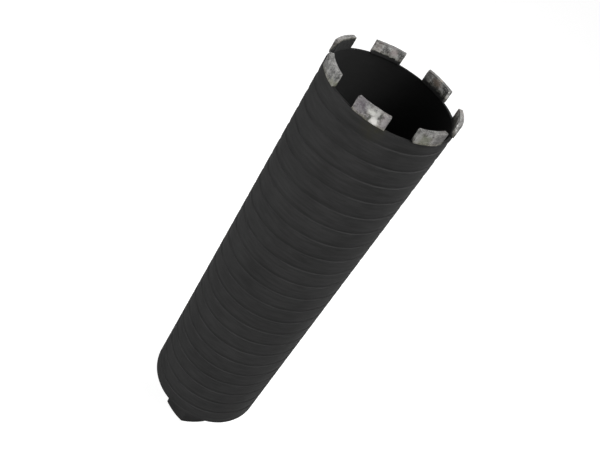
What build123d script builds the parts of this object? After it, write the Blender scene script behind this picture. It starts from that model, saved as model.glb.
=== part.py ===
"""Diamond core bit for drilling round holes in concrete, 4 in across, with a spiral-grooved barrel.

It stands on the end of its hexagon hub with the crown of cutting segments upwards. The origin is the centre
of the hub's end face, +Z points to the crown and -Y is the front. Every size is in millimetres.
"""

from build123d import *
import math
import os

front_angle = -90.0         # where the first segment stands, seen from above

# Barrel: a steel tube.
barrel_diameter = 100.0
barrel_wall = 2.0
barrel_length = 340.0

# Spiral groove round the outside of the barrel, right-handed. Its section is a shallow V with a long slope on
# the crown side and a short steep one on the hub side.
groove_pitch = 15.0
groove_depth = 0.5
groove_long_slope = 4.6
groove_short_slope = 1.8
groove_root_drop = 10.5     # from the barrel's cutting end to the groove's root, at the front
groove_overcut = 0.2        # how far the cutter stands out of the barrel

# Cutting segments: curved blocks on the barrel's bare end, centred on its wall.
segment_count = 7
segment_arc = 24.0          # along the middle of the barrel's wall
segment_thickness = 3.5
segment_height = 10.0

# End plate: a disc inside the barrel's back end.
plate_thickness = 6.0
plate_recess = 1.5          # from the barrel's back edge to the plate, where the weld goes
plate_clearance = 0.05      # round the plate, inside the barrel

# Hub: a hexagon bar, drilled and tapped through, that passes through the end plate.
hub_across_flats = 41.0
hub_reach = 51.0            # from its end face to the barrel's back edge
hub_face_diameter = 39.0    # the flat ring left by the turned chamfer
hub_chamfer_angle = 30.0
hub_corner_angle = -79.9    # one of the hexagon's corners
hub_clearance = 0.1         # round the hexagon, in the plate
thread_core_diameter = 28.0  # 1 1/4 in - 7 UNC, at the thread's crests
countersink_diameter = 32.0

# What follows from them.
barrel_radius = barrel_diameter / 2
bore_radius = barrel_radius - barrel_wall
wall_middle = (barrel_radius + bore_radius) / 2
barrel_bottom = hub_reach
barrel_top = barrel_bottom + barrel_length
plate_bottom = barrel_bottom + plate_recess
plate_top = plate_bottom + plate_thickness
thread_radius = thread_core_diameter / 2


def standing_cylinder(radius, bottom, top):
    """A cylinder round the Z axis between two heights."""
    cylinder = Cylinder(radius, top - bottom, align=(Align.CENTER, Align.CENTER, Align.MIN))
    return Pos(0, 0, bottom) * cylinder


def one_turn_of_groove():
    """The cutter for one turn, with the root of its section at height 0 on the X axis."""
    grow = 1 + groove_overcut / groove_depth
    root = (barrel_radius - groove_depth, 0)
    crown_side = (barrel_radius + groove_overcut, groove_long_slope * grow)
    hub_side = (barrel_radius + groove_overcut, -groove_short_slope * grow)
    section = Plane.XZ * make_face(Polyline(root, crown_side, hub_side, close=True))
    path = Helix(pitch=groove_pitch, height=groove_pitch, radius=barrel_radius)
    return sweep(section, path=path, is_frenet=True)


def make_barrel():
    """The tube with its groove, cut a turn at a time from one end to past the other."""
    tube = standing_cylinder(barrel_radius, barrel_bottom, barrel_top)
    tube -= standing_cylinder(bore_radius, barrel_bottom, barrel_top)
    turn = Rot(0, 0, front_angle) * one_turn_of_groove()
    turns_down = math.ceil((barrel_length - groove_root_drop + groove_long_slope) / groove_pitch) + 1
    turns_up = math.ceil((groove_root_drop + groove_short_slope) / groove_pitch) + 1
    first_root = barrel_top - groove_root_drop
    cutters = [Pos(0, 0, first_root + groove_pitch * step) * turn for step in range(-turns_down, turns_up)]
    return tube - cutters


def make_segment(number):
    """A block bent to the barrel's curve, standing on the end of its wall."""
    inner = wall_middle - segment_thickness / 2
    outer = wall_middle + segment_thickness / 2
    sweep_angle = math.degrees(segment_arc / wall_middle)
    middle = front_angle + number * 360 / segment_count
    start = middle - sweep_angle / 2
    outer_arc = CenterArc((0, 0), outer, start, sweep_angle)
    inner_arc = CenterArc((0, 0), inner, start, sweep_angle)
    sides = [Line(outer_arc @ end, inner_arc @ end) for end in (0, 1)]
    face = make_face([outer_arc, inner_arc, *sides])
    return Pos(0, 0, barrel_top) * extrude(face, segment_height)


def hexagon_bar(across_flats, bottom, top):
    """A hexagon prism at the hub's angle between two heights."""
    hexagon = RegularPolygon(across_flats / 2, 6, major_radius=False, rotation=hub_corner_angle)
    return Pos(0, 0, bottom) * extrude(hexagon, top - bottom)


def make_end_plate():
    """The disc that closes the barrel, with a hexagon hole for the hub."""
    disc = standing_cylinder(bore_radius - plate_clearance, plate_bottom, plate_top)
    return disc - hexagon_bar(hub_across_flats + 2 * hub_clearance, plate_bottom, plate_top)


def make_hub():
    """The hexagon bar with its turned end chamfer, and the tapped hole with its countersink."""
    corner_radius = hub_across_flats / 2 / math.cos(math.pi / 6)
    face_radius = hub_face_diameter / 2
    chamfer_rise = (corner_radius - face_radius) * math.tan(math.radians(hub_chamfer_angle))
    outline = Polyline(
        (0, 0),
        (face_radius, 0),
        (corner_radius, chamfer_rise),
        (corner_radius, plate_top),
        (0, plate_top),
        close=True,
    )
    blank = revolve(Plane.XZ * make_face(outline), Axis.Z)
    hub = hexagon_bar(hub_across_flats, 0, plate_top) & blank
    hub -= standing_cylinder(thread_radius, 0, plate_top)
    sink_radius = countersink_diameter / 2
    sink_depth = sink_radius - thread_radius
    return hub - Cone(sink_radius, thread_radius, sink_depth, align=(Align.CENTER, Align.CENTER, Align.MIN))


pieces = {
    "barrel": make_barrel(),
    "end_plate": make_end_plate(),
    "hub": make_hub(),
}
for number in range(segment_count):
    pieces[f"segment_{number + 1}"] = make_segment(number)

os.makedirs("parts", exist_ok=True)
for name, piece in pieces.items():
    export_step(piece, f"parts/{name}.step")
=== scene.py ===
import math

import bpy
from mathutils import Matrix, Vector


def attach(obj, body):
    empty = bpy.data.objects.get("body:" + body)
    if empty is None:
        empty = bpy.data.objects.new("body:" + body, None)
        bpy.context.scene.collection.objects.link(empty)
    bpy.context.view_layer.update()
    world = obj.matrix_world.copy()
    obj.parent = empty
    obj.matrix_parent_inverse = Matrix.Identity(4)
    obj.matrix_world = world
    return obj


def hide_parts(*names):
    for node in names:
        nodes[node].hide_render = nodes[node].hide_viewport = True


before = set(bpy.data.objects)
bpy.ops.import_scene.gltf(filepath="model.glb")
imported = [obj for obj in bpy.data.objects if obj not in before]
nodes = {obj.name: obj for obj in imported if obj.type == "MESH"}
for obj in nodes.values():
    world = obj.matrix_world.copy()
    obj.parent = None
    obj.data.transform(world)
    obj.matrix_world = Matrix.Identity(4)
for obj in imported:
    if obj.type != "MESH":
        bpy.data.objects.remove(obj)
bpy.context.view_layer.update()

# Barrel: a steel tube 100 mm across and 2 mm thick, with one shallow groove rolled round its outside from end
# to end. The groove is hollow, and steeper on the hub side. Both ends of the tube are cut square.
barrel_radius = 0.050
bore_radius = 0.048
barrel_bottom = 0.051
barrel_top = 0.391
barrel_steps = 120
groove_pitch = 0.015
groove_turns = 25
root_below_rim_at_front = 0.0110
# The groove's section, as height from its deepest line and depth below the tube's surface.
groove_section = [
    (-0.0009, 0.0), (-0.0002, 0.00044), (0.0003, 0.0005), (0.0021, 0.00039), (0.0039, 0.00021), (0.0055, 0.0),
]
# How near two heights, or two points, count as one.
same_height = 0.000001
same_point = 0.000004


def deselect():
    """Nothing is selected and no object is in edit mode."""
    if bpy.context.mode != "OBJECT":
        bpy.ops.object.mode_set(mode="OBJECT")
    bpy.ops.object.select_all(action="DESELECT")


def take(obj):
    """Only this object is selected and active."""
    deselect()
    obj.select_set(True)
    bpy.context.view_layer.objects.active = obj


def edit(obj, kind="VERT"):
    """Opens one object in edit mode with nothing selected in it."""
    take(obj)
    bpy.ops.object.mode_set(mode="EDIT")
    bpy.ops.mesh.select_mode(type=kind)
    bpy.ops.mesh.select_all(action="DESELECT")


def pick_edges(obj, test):
    """Opens the object in edit mode with only those edges selected whose two ends pass the test."""
    edit(obj, "EDGE")
    bpy.ops.object.mode_set(mode="OBJECT")
    for side in obj.data.edges:
        side.select = test(*(obj.data.vertices[end].co for end in side.vertices))
    bpy.ops.object.mode_set(mode="EDIT")


def apply_all(obj):
    """Applies the object's modifiers from the first to the last."""
    take(obj)
    for modifier in list(obj.modifiers):
        bpy.ops.object.modifier_apply(modifier=modifier.name)


def settle(obj):
    """Carries the object's place, turn and size over to its mesh."""
    take(obj)
    bpy.ops.object.transform_apply(location=True, rotation=True, scale=True)


def outward(obj):
    """Merges doubles and turns all faces outwards."""
    edit(obj)
    bpy.ops.mesh.select_all(action="SELECT")
    bpy.ops.mesh.remove_doubles(threshold=same_point)
    bpy.ops.mesh.normals_make_consistent(inside=False)
    bpy.ops.object.mode_set(mode="OBJECT")


def smooth(obj, degrees):
    """Smooth shading that leaves large faces flat and keeps edges sharper than the angle."""
    take(obj)
    bpy.ops.object.shade_smooth_by_angle(angle=math.radians(degrees))
    flat = obj.modifiers.new("flat_faces", "WEIGHTED_NORMAL")
    flat.keep_sharp = True
    bpy.ops.object.modifier_apply(modifier=flat.name)


def drawn_section(name, points):
    """A chain of edges through the points, drawn by extruding one vertex."""
    deselect()
    bpy.ops.mesh.primitive_plane_add(size=0.001, location=points[0])
    obj = bpy.context.object
    obj.name = name
    settle(obj)
    edit(obj)
    bpy.ops.mesh.select_all(action="SELECT")
    bpy.ops.mesh.merge(type="CENTER")
    for start, end in zip(points, points[1:]):
        step = tuple(b - a for a, b in zip(start, end))
        bpy.ops.mesh.extrude_region_move(TRANSFORM_OT_translate={"value": step})
    bpy.ops.object.mode_set(mode="OBJECT")
    return obj


def wind(obj, pitch, turns, steps):
    """Turns a section round the bit's axis, rising by the pitch at each turn."""
    screw = obj.modifiers.new("wound", "SCREW")
    screw.axis = "Z"
    screw.angle = 2 * math.pi
    screw.screw_offset = pitch
    screw.iterations = turns
    screw.steps = screw.render_steps = steps
    apply_all(obj)
    outward(obj)


def trim(obj, bottom, top, filled):
    """Cuts the object off square at two heights, and closes the cuts or leaves them open."""
    edit(obj)
    for height, below in ((bottom, True), (top, False)):
        bpy.ops.mesh.select_all(action="SELECT")
        bpy.ops.mesh.bisect(plane_co=(0, 0, height), plane_no=(0, 0, 1), clear_inner=below,
                            clear_outer=not below, use_fill=filled, threshold=same_height / 2)
    bpy.ops.object.mode_set(mode="OBJECT")


def part_of_bit(obj, name, material, replaced=()):
    """Names the piece, gives it its finish and joins it to the bit."""
    obj.name = name
    obj.data.materials.clear()
    obj.data.materials.append(material)
    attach(obj, "root")
    if replaced:
        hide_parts(*replaced)


# The front is a quarter turn before the X axis, on which the section is drawn.
root_on_x_axis = barrel_top - root_below_rim_at_front + groove_pitch / 4
first_root = root_on_x_axis - (groove_turns - 1) * groove_pitch
low_land = (barrel_radius, 0.0, first_root + groove_section[-1][0] - groove_pitch)
section = [(barrel_radius - depth, 0.0, first_root + height) for height, depth in groove_section]
barrel = drawn_section("barrel_shell", [low_land, *section])
wind(barrel, groove_pitch, groove_turns + 1, barrel_steps)
trim(barrel, barrel_bottom, barrel_top, False)
deselect()
bpy.ops.mesh.primitive_cylinder_add(vertices=barrel_steps, radius=bore_radius, depth=barrel_top - barrel_bottom,
                                    end_fill_type="NOTHING",
                                    location=(0, 0, (barrel_top + barrel_bottom) / 2))
bore = bpy.context.object
settle(bore)
barrel.select_set(True)
bpy.context.view_layer.objects.active = barrel
bpy.ops.object.join()
for rim in (barrel_bottom, barrel_top):
    pick_edges(barrel, lambda *ends: all(abs(end.z - rim) < same_height for end in ends))
    bpy.ops.mesh.bridge_edge_loops()
bpy.ops.object.mode_set(mode="OBJECT")
outward(barrel)
smooth(barrel, 10)


def new_group(name, inputs, outputs):
    """A shader node group with its sockets; inputs are (name, kind, default)."""
    group = bpy.data.node_groups.new(name, "ShaderNodeTree")
    for socket_name, kind, default in inputs:
        socket = group.interface.new_socket(socket_name, in_out="INPUT", socket_type=kind)
        socket.default_value = default
    for socket_name, kind in outputs:
        group.interface.new_socket(socket_name, in_out="OUTPUT", socket_type=kind)
    received = group.nodes.new("NodeGroupInput").outputs
    given = group.nodes.new("NodeGroupOutput").inputs
    return group, received, given


def put(tree, kind, links=None, **settings):
    """One shader node with its settings, and its inputs linked or set by name or number."""
    node = tree.nodes.new(kind)
    for name, value in settings.items():
        setattr(node, name, value)
    for key, value in (links or {}).items():
        if isinstance(value, bpy.types.NodeSocket):
            tree.links.new(value, node.inputs[key])
        else:
            node.inputs[key].default_value = value
    return node


def calculate(tree, operation, *values, clamp=False):
    """A math node's result."""
    return put(tree, "ShaderNodeMath", dict(enumerate(values)), operation=operation, use_clamp=clamp).outputs[0]


def noise(tree, where, scale, detail=2.0, roughness=0.5):
    """A noise pattern from 0 to 1."""
    links = {"Vector": where, "Scale": scale, "Detail": detail, "Roughness": roughness}
    return put(tree, "ShaderNodeTexNoise", links).outputs["Fac"]


def between(tree, value, low, high, to_low=0.0, to_high=1.0):
    """The value carried over from one range to another, and held at its ends."""
    links = {"Value": value, "From Min": low, "From Max": high, "To Min": to_low, "To Max": to_high}
    return put(tree, "ShaderNodeMapRange", links).outputs["Result"]


def mixed(tree, amount, first, second):
    """Two colours mixed; the node's sockets 0, 6 and 7 are the amount and the colours."""
    return put(tree, "ShaderNodeMix", {0: amount, 6: first, 7: second}, data_type="RGBA").outputs[2]


def from_axis(tree, place):
    """How far a place is from the bit's axis."""
    flat = put(tree, "ShaderNodeVectorMath", {0: place, 1: (1.0, 1.0, 0.0)}, operation="MULTIPLY").outputs[0]
    return put(tree, "ShaderNodeVectorMath", {0: flat}, operation="LENGTH").outputs["Value"]


def opened(material):
    """A material's nodes, its shader and the place on the part, in metres."""
    tree = material.node_tree
    return tree, tree.nodes["Principled BSDF"], tree.nodes.new("ShaderNodeTexCoord").outputs["Object"]


def linked(shader, name):
    """What feeds one of the shader's inputs so far."""
    return shader.inputs[name].links[0].from_socket


def new_material(name, roughness, specular, metallic=0.0):
    """A material with its nodes, its shader and the place on the part."""
    material = bpy.data.materials.new(name)
    material.use_nodes = True
    tree, shader, place = opened(material)
    shader.inputs["Roughness"].default_value = roughness
    shader.inputs["Specular IOR Level"].default_value = specular
    shader.inputs["Metallic"].default_value = metallic
    return material, tree, shader, place


# The paint on all the steel parts is satin charcoal black, sprayed on thin, so that it keeps the fine turning
# lines of the steel under it and is a little uneven in tone and sheen.
paint_group, paint_in, paint_out = new_group(
    "sprayed_paint",
    [
        ("Place", "NodeSocketVector", (0.0, 0.0, 0.0)),
        ("Colour", "NodeSocketColor", (0.02, 0.02, 0.02, 1.0)),
        ("Worn colour", "NodeSocketColor", (0.05, 0.05, 0.05, 1.0)),
        ("Wear", "NodeSocketFloat", 0.2),
        ("Sheen change", "NodeSocketFloat", 0.08),
        ("Roughness", "NodeSocketFloat", 0.5),
    ],
    [("Colour", "NodeSocketColor"), ("Roughness", "NodeSocketFloat"), ("Height", "NodeSocketFloat")],
)
cloud_scale = 22.0
grain_scale = 1400.0
line_scale = (75.0, 75.0, 560.0)
paint_place = paint_in["Place"]
paint_rings = put(paint_group, "ShaderNodeMapping", {"Vector": paint_place, "Scale": line_scale}).outputs[0]
paint_cloud = noise(paint_group, paint_place, cloud_scale, detail=3.0)
paint_grain = noise(paint_group, paint_place, grain_scale, detail=1.0)
paint_lines = noise(paint_group, paint_rings, 1.0)
paint_tone = calculate(paint_group, "ADD", between(paint_group, paint_cloud, 0.35, 0.65, 0.0, 0.6),
                       between(paint_group, paint_lines, 0.35, 0.65, 0.0, 0.8))
paint_amount = calculate(paint_group, "MULTIPLY", paint_tone, paint_in["Wear"], clamp=True)
paint_mix = mixed(paint_group, paint_amount, paint_in["Colour"], paint_in["Worn colour"])
paint_shift = between(paint_group, paint_cloud, 0.3, 0.7, -1.0, 1.0)
paint_rough = calculate(paint_group, "MULTIPLY_ADD", paint_shift, paint_in["Sheen change"],
                        paint_in["Roughness"])
paint_height = calculate(paint_group, "MULTIPLY_ADD", paint_grain, 0.6,
                         calculate(paint_group, "MULTIPLY", paint_lines, 0.8))
paint_group.links.new(paint_mix, paint_out["Colour"])
paint_group.links.new(paint_rough, paint_out["Roughness"])
paint_group.links.new(paint_height, paint_out["Height"])

# Colour, worn colour, wear, roughness, specular level and bump of the paint.
bit_paint = ((0.0124, 0.0124, 0.0124), (0.024, 0.024, 0.024), 0.58, 0.55, 0.08, 0.25)
paint_bump_height = 0.00005


def painted_steel(name, colour, worn, wear, roughness, specular, bump):
    """A material of sprayed paint on steel."""
    material, tree, shader, place = new_material(name, roughness, specular)
    group = put(tree, "ShaderNodeGroup", node_tree=paint_group)
    tree.links.new(place, group.inputs["Place"])
    group.inputs["Colour"].default_value = (*colour, 1.0)
    group.inputs["Worn colour"].default_value = (*worn, 1.0)
    group.inputs["Wear"].default_value = wear
    group.inputs["Roughness"].default_value = roughness
    tree.links.new(group.outputs["Colour"], shader.inputs["Base Color"])
    tree.links.new(group.outputs["Roughness"], shader.inputs["Roughness"])
    bumped = put(tree, "ShaderNodeBump",
                 {"Height": group.outputs["Height"], "Strength": bump, "Distance": paint_bump_height})
    tree.links.new(bumped.outputs[0], shader.inputs["Normal"])
    return material


groove_shade = (0.004, 0.004, 0.004, 1.0)
even_paint = (0.017, 0.017, 0.017, 1.0)
groove_wall_highlight = (0.05, 0.05, 0.05, 1.0)
heated_paint = (0.0195, 0.019, 0.011, 1.0)
heat_mark = (0.006, -0.0495, 0.3885)
barrel_paint = painted_steel("barrel_paint", *bit_paint)
tree, shader, place = opened(barrel_paint)
coat = linked(shader, "Base Color")
radius = from_axis(tree, place)
normal = tree.nodes.new("ShaderNodeNewGeometry").outputs["Normal"]
facing_up = put(tree, "ShaderNodeSeparateXYZ", {"Vector": normal}).outputs[2]
# The bottom of the groove is painted darker: painted shade along its deepest part.
outside = between(tree, radius, bore_radius + 0.0010, bore_radius + 0.0012)
low_place = between(tree, radius, barrel_radius - 0.00048, barrel_radius - 0.00032, 0.3, 0.0)
groove_shaded = calculate(tree, "MULTIPLY", outside, low_place)
coat = mixed(tree, groove_shaded, coat, groove_shade)
# The paint is more even inside the tube.
inside = between(tree, radius, bore_radius + 0.0001, bore_radius + 0.0003, 0.8, 0.0)
coat = mixed(tree, inside, coat, even_paint)
# The groove's steep side faces up and is painted lighter: a painted highlight.
lit_groove_wall = calculate(tree, "MULTIPLY", between(tree, facing_up, 0.15, 0.5),
                   between(tree, facing_up, 0.9, 0.97, 1.0, 0.0))
coat = mixed(tree, calculate(tree, "MULTIPLY", lit_groove_wall, 0.1), coat, groove_wall_highlight)
# The heat of welding has left a faint olive mark on the paint under the front segment.
from_heat = put(tree, "ShaderNodeVectorMath", {0: place, 1: heat_mark}, operation="DISTANCE").outputs["Value"]
heated = calculate(tree, "MULTIPLY", between(tree, from_heat, 0.0035, 0.0105, 0.7, 0.0),
                   between(tree, noise(tree, place, 260.0), 0.35, 0.6, 0.3, 1.0))
coat = mixed(tree, heated, coat, heated_paint)
tree.links.new(coat, shader.inputs["Base Color"])
# The cut end of the tube is dull.
dull = between(tree, facing_up, 0.9, 0.97, 0.0, 0.4)
rough = calculate(tree, "ADD", linked(shader, "Roughness"), dull, clamp=True)
tree.links.new(rough, shader.inputs["Roughness"])
part_of_bit(barrel, "barrel_tube", barrel_paint, ["barrel"])

# Segments: seven blocks of sintered metal and diamond grit, pressed to the barrel's curve and welded on its
# bare end. They stand proud of the wall on both sides. Their feet carry some of the barrel's paint.
segment_count = 7
segment_arc = 0.024
segment_thickness = 0.0035
segment_height = 0.010
wall_middle = (barrel_radius + bore_radius) / 2
segment_turn = segment_arc / wall_middle
front = -math.pi / 2
# One block is modelled with its middle on the X axis. The copies are turned to their places and roughened.
pits = bpy.data.textures.new("segment_pits", "CLOUDS")
pits.noise_scale = 0.0014
pits.noise_depth = 2
dents = bpy.data.textures.new("segment_dents", "CLOUDS")
dents.noise_scale = 0.006
dents.noise_depth = 1
deselect()
bpy.ops.mesh.primitive_grid_add(x_subdivisions=3, y_subdivisions=8, size=1.0)
block = bpy.context.object
block.scale = (segment_thickness, segment_height, 1.0)
block.rotation_euler = (math.pi / 2, 0.0, 0.0)
block.location = (wall_middle, 0.0, barrel_top + segment_height / 2)
settle(block)
block.rotation_euler = (0.0, 0.0, segment_turn / 2)
settle(block)
edit(block, "FACE")
bpy.ops.mesh.select_all(action="SELECT")
bpy.ops.mesh.spin(steps=20, angle=segment_turn, center=(0, 0, 0), axis=(0, 0, 1))
bpy.ops.object.mode_set(mode="OBJECT")
outward(block)

metal_group, metal_in, metal_out = new_group(
    "sintered_grit",
    [
        ("Place", "NodeSocketVector", (0.0, 0.0, 0.0)),
        ("Brightness", "NodeSocketFloat", 0.5),
        ("Contrast", "NodeSocketFloat", 0.75),
        ("Paint inside", "NodeSocketFloat", 0.003),
        ("Paint outside", "NodeSocketFloat", 0.0004),
        ("Paint fade", "NodeSocketFloat", 0.0004),
        ("Stain", "NodeSocketFloat", 0.2),
        ("Stain colour", "NodeSocketColor", (0.30, 0.22, 0.19, 1.0)),
        ("Low end", "NodeSocketFloat", 0.5),
        ("High end", "NodeSocketFloat", 0.5),
        ("Outer face light", "NodeSocketFloat", 0.6),
        ("Inner face light", "NodeSocketFloat", 1.0),
        ("Crown face light", "NodeSocketFloat", 0.6),
    ],
    [("Colour", "NodeSocketColor"), ("Height", "NodeSocketFloat")],
)
dark_metal = (0.06, 0.0595, 0.057, 1.0)
bright_metal = (0.46, 0.455, 0.44, 1.0)
dark_end_colour = (0.03, 0.03, 0.03, 1.0)
olive_tint = (0.15, 0.14, 0.085, 1.0)
foot_paint = (0.018, 0.018, 0.018, 1.0)
grit_scale = 1300.0
segment_end = 0.0119        # half its length, on the Y axis
dark_end_start = 0.0075
dark_end_rise = 0.0020
# The group's place is turned so that the middle of the segment lies on the X axis.
metal_place = metal_in["Place"]
axes = put(metal_group, "ShaderNodeSeparateXYZ", {"Vector": metal_place}).outputs
radius = from_axis(metal_group, metal_place)
height = calculate(metal_group, "SUBTRACT", axes[2], barrel_top)
# The metal's own tone, in blotches and single grains, with stains.
blotches = noise(metal_group, metal_place, 260.0, detail=3.0, roughness=0.6)
patches = noise(metal_group, metal_place, 110.0, detail=1.0)
cells = put(metal_group, "ShaderNodeTexVoronoi", {"Vector": metal_place, "Scale": grit_scale}).outputs["Color"]
grit = put(metal_group, "ShaderNodeSeparateColor", {"Color": cells}).outputs[0]
uneven = calculate(metal_group, "ADD", between(metal_group, blotches, 0.36, 0.66, -0.5, 0.5),
                   between(metal_group, patches, 0.35, 0.65, -0.25, 0.25))
uneven = calculate(metal_group, "MULTIPLY_ADD", calculate(metal_group, "SUBTRACT", grit, 0.5), 0.7, uneven)
tone = calculate(metal_group, "MULTIPLY_ADD", uneven, metal_in["Contrast"], metal_in["Brightness"], clamp=True)
metal = mixed(metal_group, tone, dark_metal, bright_metal)
stained = noise(metal_group, metal_place, 75.0)
stain = calculate(metal_group, "MULTIPLY", between(metal_group, stained, 0.45, 0.6), metal_in["Stain"])
metal = mixed(metal_group, stain, metal, metal_in["Stain colour"])
# The outer, inner and crown faces are painted lighter or darker, each by its own factor: painted light and
# shade for how the light falls on each face.
side_light_factor = between(metal_group, radius, wall_middle - 0.0012, wall_middle + 0.0012, metal_in["Inner face light"],
                    metal_in["Outer face light"])
face_light_factor = between(metal_group, height, segment_height - 0.0008, segment_height - 0.0002, side_light_factor,
                    metal_in["Crown face light"])
metal = put(metal_group, "ShaderNodeVectorMath", {0: metal, "Scale": face_light_factor}, operation="SCALE").outputs[0]
# The two ends are darker, less so towards the crown.
low_end = calculate(metal_group, "MULTIPLY", metal_in["Low end"],
                    between(metal_group, axes[1], -segment_end, -dark_end_start, 1.0, 0.0))
high_end = calculate(metal_group, "MULTIPLY", metal_in["High end"],
                     between(metal_group, axes[1], dark_end_start, segment_end))
darker_ends = calculate(metal_group, "MULTIPLY", calculate(metal_group, "ADD", low_end, high_end),
                   between(metal_group, height, segment_height - 0.0020, segment_height - 0.0001, 1.0, 0.0))
metal = mixed(metal_group, darker_ends, metal, dark_end_colour)
# Paint covers the foot up to a ragged edge, higher near the two ends, with a band of olive tint above it.
reach = between(metal_group, radius, wall_middle - 0.0016, wall_middle + 0.0014, metal_in["Paint inside"],
                metal_in["Paint outside"])
ragged = noise(metal_group, metal_place, 420.0)
reach = calculate(metal_group, "ADD", reach, between(metal_group, ragged, 0.3, 0.7, -0.0006, 0.0006))
reach = calculate(metal_group, "MULTIPLY_ADD", darker_ends, dark_end_rise, reach)
above = calculate(metal_group, "SUBTRACT", height, reach)
metal = mixed(metal_group, between(metal_group, above, 0.0, 0.0022, 0.4, 0.0), metal, olive_tint)
bare = between(metal_group, above, calculate(metal_group, "MULTIPLY", metal_in["Paint fade"], -1.0),
               metal_in["Paint fade"])
metal = mixed(metal_group, bare, foot_paint, metal)
metal_group.links.new(metal, metal_out["Colour"])
metal_group.links.new(calculate(metal_group, "MULTIPLY_ADD", grit, 0.35, blotches), metal_out["Height"])


def finish(brightness, contrast, paint, face_lights, ends=(0.3, 0.3), stain=0.2):
    """The values of one segment's metal; paint is its reach inside and outside and its fade, and face_lights
    are the painted light and shade on its outer, inner and crown faces.
    """
    return {"Brightness": brightness, "Contrast": contrast, "Paint inside": paint[0], "Paint outside": paint[1],
            "Paint fade": paint[2], "Outer face light": face_lights[0], "Inner face light": face_lights[1], "Crown face light": face_lights[2],
            "Low end": ends[0], "High end": ends[1], "Stain": stain}


# From the front segment round to the right, which is anticlockwise as seen from the crown.
# The fourth value of each is painted light and shade: how much lighter or darker its outer, inner and crown
# faces are made.
segment_finishes = [
    finish(0.45, 0.90, (0.0030, 0.0000, 0.0002), (0.55, 1.0, 0.53), (0.1, 0.15)),
    finish(0.50, 0.90, (0.0030, 0.0004, 0.0003), (0.52, 1.0, 0.41), (0.0, 0.9)),
    finish(0.50, 0.70, (0.0050, 0.0004, 0.0030), (0.60, 2.5, 0.67), (0.3, 0.0)),
    finish(0.42, 0.80, (0.0036, 0.0004, 0.0014), (0.60, 2.4, 0.48), (0.3, 0.3), 0.1),
    finish(0.60, 0.80, (0.0028, 0.0004, 0.0003), (0.60, 1.45, 0.41), (0.2, 0.1)),
    finish(0.55, 0.80, (0.0095, 0.0004, 0.0012), (0.60, 0.8, 0.64)),
    finish(0.46, 0.70, (0.0030, 0.0002, 0.0003), (0.64, 1.0, 0.67), (0.1, 0.1), 0.0),
]
# Rubbed and dirty spots, by segment: place along it and height, half width and half height, colour, strength.
segment_spots = {
    0: [
        ((-0.0080, 0.0062), (0.0050, 0.0060), (0.100, 0.088, 0.102), 0.6),
        ((0.0002, 0.0066), (0.0034, 0.0021), (0.44, 0.44, 0.41), 0.85),
        ((0.0040, 0.0066), (0.0017, 0.0042), (0.36, 0.36, 0.34), 0.8),
        ((0.0042, 0.0022), (0.0032, 0.0028), (0.50, 0.49, 0.47), 0.95),
        ((0.0098, 0.0050), (0.0024, 0.0050), (0.22, 0.205, 0.215), 0.5),
        ((0.0003, 0.0018), (0.0010, 0.0036), (0.035, 0.038, 0.030), 0.9),
        ((0.0064, 0.0070), (0.0008, 0.0030), (0.040, 0.040, 0.035), 0.85),
        ((-0.0034, 0.0036), (0.0008, 0.0012), (0.05, 0.04, 0.045), 0.6),
        ((-0.0060, 0.0070), (0.0009, 0.0020), (0.05, 0.04, 0.05), 0.6),
    ],
    1: [
        ((-0.0052, 0.0040), (0.0055, 0.0040), (0.120, 0.125, 0.092), 0.7),
        ((-0.0105, 0.0050), (0.0022, 0.0050), (0.22, 0.22, 0.21), 0.6),
        ((0.0070, 0.0050), (0.0060, 0.0060), (0.085, 0.085, 0.085), 0.5),
    ],
    3: [
        ((0.0005, 0.0072), (0.0045, 0.0026), (0.52, 0.42, 0.34), 0.75),
        ((0.0095, 0.0065), (0.0030, 0.0040), (0.20, 0.20, 0.20), 0.5),
    ],
    4: [
        ((-0.0036, 0.0070), (0.0030, 0.0028), (0.50, 0.42, 0.41), 0.6),
        ((-0.0080, 0.0088), (0.0012, 0.0008), (0.09, 0.09, 0.09), 0.6),
    ],
    6: [
        ((0.0104, 0.0022), (0.0026, 0.0026), (0.15, 0.155, 0.115), 0.7),
        ((-0.0009, 0.0008), (0.0010, 0.0014), (0.03, 0.03, 0.03), 0.8),
        ((-0.0090, 0.0030), (0.0040, 0.0030), (0.09, 0.09, 0.09), 0.5),
    ],
}
spot_shake = 0.0032
grit_bump_height = 0.0002


def spotted(tree, place, colour, spots):
    """Lays soft-edged spots with wavy outlines over a segment's colour."""
    wavy = put(tree, "ShaderNodeTexNoise", {"Vector": place, "Scale": 500.0, "Detail": 3.0}).outputs["Color"]
    shaken = put(tree, "ShaderNodeVectorMath", {0: wavy, 1: (spot_shake, spot_shake, spot_shake), 2: place},
                 operation="MULTIPLY_ADD").outputs[0]
    for (along, rise), (half_width, half_height), spot_colour, strength in spots:
        centre = (0.0, along + spot_shake / 2, barrel_top + rise + spot_shake / 2)
        offset = put(tree, "ShaderNodeVectorMath", {0: shaken, 1: centre}, operation="SUBTRACT").outputs[0]
        scaled = put(tree, "ShaderNodeVectorMath", {0: offset, 1: (0.0, 1 / half_width, 1 / half_height)},
                     operation="MULTIPLY").outputs[0]
        away = put(tree, "ShaderNodeVectorMath", {0: scaled}, operation="LENGTH").outputs["Value"]
        colour = mixed(tree, between(tree, away, 0.5, 1.2, strength, 0.0), colour, (*spot_colour, 1.0))
    return colour


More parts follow.
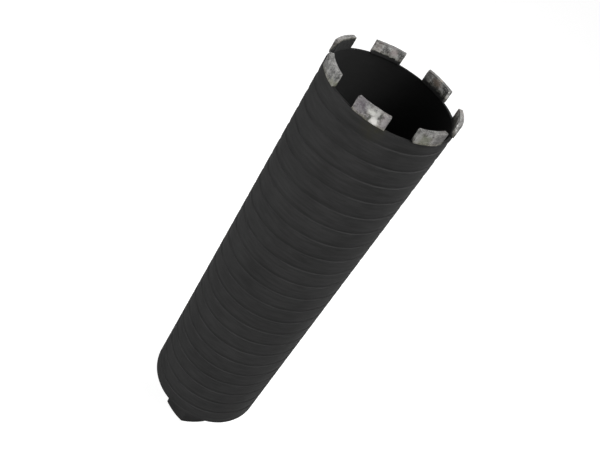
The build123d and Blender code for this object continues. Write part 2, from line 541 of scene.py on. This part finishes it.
def sintered_metal(name, turn, values, spots):
    """Grey matrix metal with grit and pores, paint carried over on the foot, and darker ends."""
    material, tree, shader, place = new_material(name, 0.6, 0.4, 0.3)
    turned_place = put(tree, "ShaderNodeMapping", {"Vector": place, "Rotation": (0.0, 0.0, -turn)}).outputs[0]
    group = put(tree, "ShaderNodeGroup", {"Place": turned_place, **values}, node_tree=metal_group)
    colour = group.outputs["Colour"]
    if spots:
        colour = spotted(tree, turned_place, colour, spots)
    tree.links.new(colour, shader.inputs["Base Color"])
    bumped = put(tree, "ShaderNodeBump",
                 {"Height": group.outputs["Height"], "Strength": 0.5, "Distance": grit_bump_height})
    tree.links.new(bumped.outputs[0], shader.inputs["Normal"])
    return material


for number in range(segment_count):
    turn = front + number * 2 * math.pi / segment_count
    segment = block.copy()
    segment.data = block.data.copy()
    bpy.context.collection.objects.link(segment)
    segment.rotation_euler = (0.0, 0.0, turn)
    settle(segment)
    bevel = segment.modifiers.new("worn_edges", "BEVEL")
    bevel.width = 0.00025
    bevel.segments = 2
    bevel.limit_method = "ANGLE"
    bevel.angle_limit = math.radians(60)
    finer = segment.modifiers.new("finer", "SUBSURF")
    finer.subdivision_type = "SIMPLE"
    finer.levels = finer.render_levels = 2
    for texture, strength in ((pits, 0.00022), (dents, 0.0003)):
        rough = segment.modifiers.new("rough", "DISPLACE")
        rough.texture = texture
        rough.texture_coords = "LOCAL"
        rough.strength = strength
        rough.mid_level = 0.6
    apply_all(segment)
    smooth(segment, 60)
    node = f"segment_{number + 1}"
    segment_metal = sintered_metal(f"segment_metal_{number + 1}", turn, segment_finishes[number],
                                   segment_spots.get(number))
    part_of_bit(segment, f"{node}_sintered", segment_metal, [node])
bpy.data.objects.remove(block)

# Hub: a hexagon bar, 41 mm across its flats, with a turned chamfer on its end. It is drilled and tapped right
# through, 1 1/4 in - 7 UNC, and passes through the end plate. The thread is bare, oiled steel.
hub_flat = 0.0205           # from the axis
hub_corner = hub_flat / math.cos(math.pi / 6)
hub_top = 0.0585
hub_turn = math.radians(90 - 79.9)  # brings a corner to 79.9 degrees before the X axis
hub_edge_round = 0.0004
hub_face_radius = 0.0195
hub_chamfer = math.radians(30)
thread_pitch = 0.0254 / 7
thread_crest = 0.0140       # 28 mm across
thread_root = 0.015875      # 31.75 mm across
thread_root_flat = thread_pitch / 8
thread_turns = 20
thread_steps = 72
countersink_radius = 0.0160
countersink_reach = 0.003
overcut = 0.001


def cut(obj, tool, operation):
    """Cuts the object with a tool, or keeps what they share, and throws the tool away."""
    deselect()
    boolean = obj.modifiers.new("cut", "BOOLEAN")
    boolean.operation = operation
    boolean.object = tool
    boolean.solver = "EXACT"
    apply_all(obj)
    bpy.data.objects.remove(tool)


def cone(bottom, top, low_radius, high_radius):
    """A cone round the bit's axis, as a cutting tool."""
    deselect()
    bpy.ops.mesh.primitive_cone_add(vertices=96, radius1=low_radius, radius2=high_radius, depth=top - bottom,
                                    location=(0, 0, (bottom + top) / 2))
    settle(bpy.context.object)
    return bpy.context.object


deselect()
bpy.ops.mesh.primitive_cylinder_add(vertices=6, radius=hub_corner, depth=hub_top, location=(0, 0, hub_top / 2),
                                    rotation=(0, 0, hub_turn))
hub = bpy.context.object
settle(hub)
pick_edges(hub, lambda low, high: abs(low.z - high.z) > hub_top / 2)
bpy.ops.mesh.bevel(offset=hub_edge_round, segments=4)
bpy.ops.object.mode_set(mode="OBJECT")
below = -overcut
above = hub_top + overcut
slope = math.tan(hub_chamfer)
cut(hub, cone(below, above, hub_face_radius + below / slope, hub_face_radius + above / slope), "INTERSECT")
flank = (thread_root - thread_crest) * math.tan(math.radians(30))
crest_flat = thread_pitch - thread_root_flat - 2 * flank
start = -2 * thread_pitch
tap = drawn_section("tap", [
    (thread_crest, 0.0, start),
    (thread_crest, 0.0, start + crest_flat),
    (thread_root, 0.0, start + crest_flat + flank),
    (thread_root, 0.0, start + crest_flat + flank + thread_root_flat),
    (thread_crest, 0.0, start + thread_pitch),
])
wind(tap, thread_pitch, thread_turns, thread_steps)
trim(tap, below, above, True)
outward(tap)
cut(hub, tap, "DIFFERENCE")
countersink = cone(below, countersink_reach, countersink_radius - below, countersink_radius - countersink_reach)
cut(hub, countersink, "DIFFERENCE")
outward(hub)
smooth(hub, 30)

oily_dark = (0.16, 0.15, 0.135, 1.0)
oily_bright = (0.34, 0.33, 0.31, 1.0)
hub_paint = painted_steel("hub_paint", *bit_paint)
tree, shader, place = opened(hub_paint)
in_the_hole = between(tree, from_axis(tree, place), countersink_radius + 0.0001, countersink_radius + 0.0004,
                      1.0, 0.0)
steel = mixed(tree, noise(tree, place, 160.0), oily_dark, oily_bright)
tree.links.new(mixed(tree, in_the_hole, linked(shader, "Base Color"), steel), shader.inputs["Base Color"])
tree.links.new(in_the_hole, shader.inputs["Metallic"])
smoother = calculate(tree, "MULTIPLY", in_the_hole, -0.22)
tree.links.new(calculate(tree, "ADD", linked(shader, "Roughness"), smoother), shader.inputs["Roughness"])
part_of_bit(hub, "hub_tapped", hub_paint, ["hub"])

# End plate: a 6 mm steel disc inside the barrel's back end, painted with it. One bead of weld joins it to the
# barrel and another to the hub's six sides; both are rippled and carry the same paint.
plate_bottom = 0.0525
plate_paint = painted_steel("plate_paint", *bit_paint)
nodes["end_plate"].data.materials.clear()
nodes["end_plate"].data.materials.append(plate_paint)

ripples_in_a_turn = 150.0
ripple_height = 0.0001
weld_paint = painted_steel("weld_paint", *bit_paint)
tree, shader, place = opened(weld_paint)
axes = put(tree, "ShaderNodeSeparateXYZ", {"Vector": place}).outputs
round_angle = calculate(tree, "ARCTAN2", axes[1], axes[0])
wobble = calculate(tree, "MULTIPLY", noise(tree, place, 300.0, detail=1.0), 5.0)
ripple = calculate(tree, "SINE", calculate(tree, "MULTIPLY_ADD", round_angle, ripples_in_a_turn, wobble))
bumped = put(tree, "ShaderNodeBump", {"Height": ripple, "Strength": 0.8, "Distance": ripple_height})
tree.links.new(bumped.outputs[0], shader.inputs["Normal"])


def bead(name, sides, turn, corner_round, loops):
    """A closed ring of weld; the loops are (radius, height), and the last joins the first."""
    deselect()
    bpy.ops.mesh.primitive_circle_add(vertices=sides, radius=loops[0][0], location=(0, 0, loops[0][1]),
                                      rotation=(0, 0, turn))
    ring = bpy.context.object
    settle(ring)
    edit(ring)
    bpy.ops.mesh.select_all(action="SELECT")
    if corner_round:
        bpy.ops.mesh.bevel(offset=corner_round, segments=4, affect="VERTICES")
        bpy.ops.mesh.select_all(action="SELECT")
    for (radius_now, height_now), (radius_next, height_next) in zip(loops, loops[1:] + loops[:1]):
        grow = radius_next / radius_now
        bpy.ops.mesh.extrude_region_move(TRANSFORM_OT_translate={"value": (0, 0, height_next - height_now)})
        bpy.ops.transform.resize(value=(grow, grow, 1.0), center_override=(0, 0, 0))
    bpy.ops.object.mode_set(mode="OBJECT")
    outward(ring)
    smooth(ring, 50)
    part_of_bit(ring, name, weld_paint)


bead("plate_weld", 96, 0.0, 0.0, [
    (0.0479, plate_bottom - 0.0014), (0.0472, plate_bottom - 0.0012), (0.0467, plate_bottom - 0.0007),
    (0.0463, plate_bottom), (0.0470, plate_bottom + 0.0001), (0.0479, plate_bottom + 0.0001),
])
bead("hub_weld", 6, hub_turn, 0.0009, [
    (hub_corner + 0.0002, plate_bottom - 0.0037), (hub_corner + 0.0016, plate_bottom - 0.0033),
    (hub_corner + 0.0030, plate_bottom - 0.0021), (hub_corner + 0.0042, plate_bottom),
    (hub_corner + 0.0020, plate_bottom + 0.0001), (hub_corner - 0.0004, plate_bottom + 0.0001),
])

# The set: a pale floor and background, soft light from all round, and the camera at the photograph's angle.
# The camera and glossy metal see white, while the light from the background itself is weak.
white = (1.0, 1.0, 1.0, 1.0)
floor_grey = (0.4, 0.4, 0.4, 1.0)
floor_glow = 0.9
background_light = 0.12
deselect()
bpy.ops.mesh.primitive_plane_add(size=8.0, location=(0, 0, 0))
floor = bpy.context.object
floor.name = "floor"
floor_paper, tree, shader, _ = new_material("floor_paper", 0.9, 0.1)
shader.inputs["Base Color"].default_value = floor_grey
shader.inputs["Emission Color"].default_value = white
camera_ray = tree.nodes.new("ShaderNodeLightPath").outputs["Is Camera Ray"]
tree.links.new(calculate(tree, "MULTIPLY", camera_ray, floor_glow), shader.inputs["Emission Strength"])
floor.data.materials.append(floor_paper)

world = bpy.data.worlds.new("studio")
bpy.context.scene.world = world
world.use_nodes = True
tree = world.node_tree
background = tree.nodes["Background"]
rays = tree.nodes.new("ShaderNodeLightPath").outputs
seen = calculate(tree, "MAXIMUM", rays["Is Camera Ray"], rays["Is Transmission Ray"])
seen = calculate(tree, "MAXIMUM", seen, rays["Is Glossy Ray"])
tree.links.new(between(tree, seen, 0.0, 1.0, background_light, 1.0), background.inputs["Strength"])
background.inputs["Color"].default_value = white

bit_middle = Vector((0.0, 0.0, 0.28))
lamp_size = 0.5


def soft_light(name, place, power):
    """A square lamp aimed at the middle of the bit."""
    lamp = bpy.data.lights.new(name, "AREA")
    lamp.size = lamp_size
    lamp.energy = power
    holder = bpy.data.objects.new(name, lamp)
    bpy.context.collection.objects.link(holder)
    holder.location = place
    holder.rotation_euler = (bit_middle - Vector(place)).to_track_quat("-Z", "Y").to_euler()


soft_light("top_light", (0.548, 0.044, 1.233), 11.2)
soft_light("side_light", (0.703, -0.334, 1.058), 4.5)
soft_light("back_light", (0.840, 0.579, 0.692), 2.4)
soft_light("low_front_light", (0.271, -1.041, 0.051), 10.4)
soft_light("low_left_light", (-0.766, -0.756, 0.051), 10.2)
soft_light("low_side_light", (-1.041, -0.271, 0.051), 4.4)

camera_place = Vector((0.03399, -0.4549, 0.60135))
camera_forward = Vector((-0.0640, 0.7951, -0.6030)).normalized()
camera_up = Vector((-0.5820, 0.4611, 0.6698)).normalized()
camera_right = camera_forward.cross(camera_up)
camera_turn = Matrix((camera_right, camera_up, -camera_forward)).transposed()
lens = bpy.data.cameras.new("camera")
lens.sensor_width = 36.0
lens.lens = 44.27
lens.clip_start = 0.01
camera = bpy.data.objects.new("camera", lens)
bpy.context.collection.objects.link(camera)
camera.matrix_world = Matrix.Translation(camera_place) @ camera_turn.to_4x4()
bpy.context.scene.camera = camera
bpy.context.scene.view_settings.view_transform = "Standard"
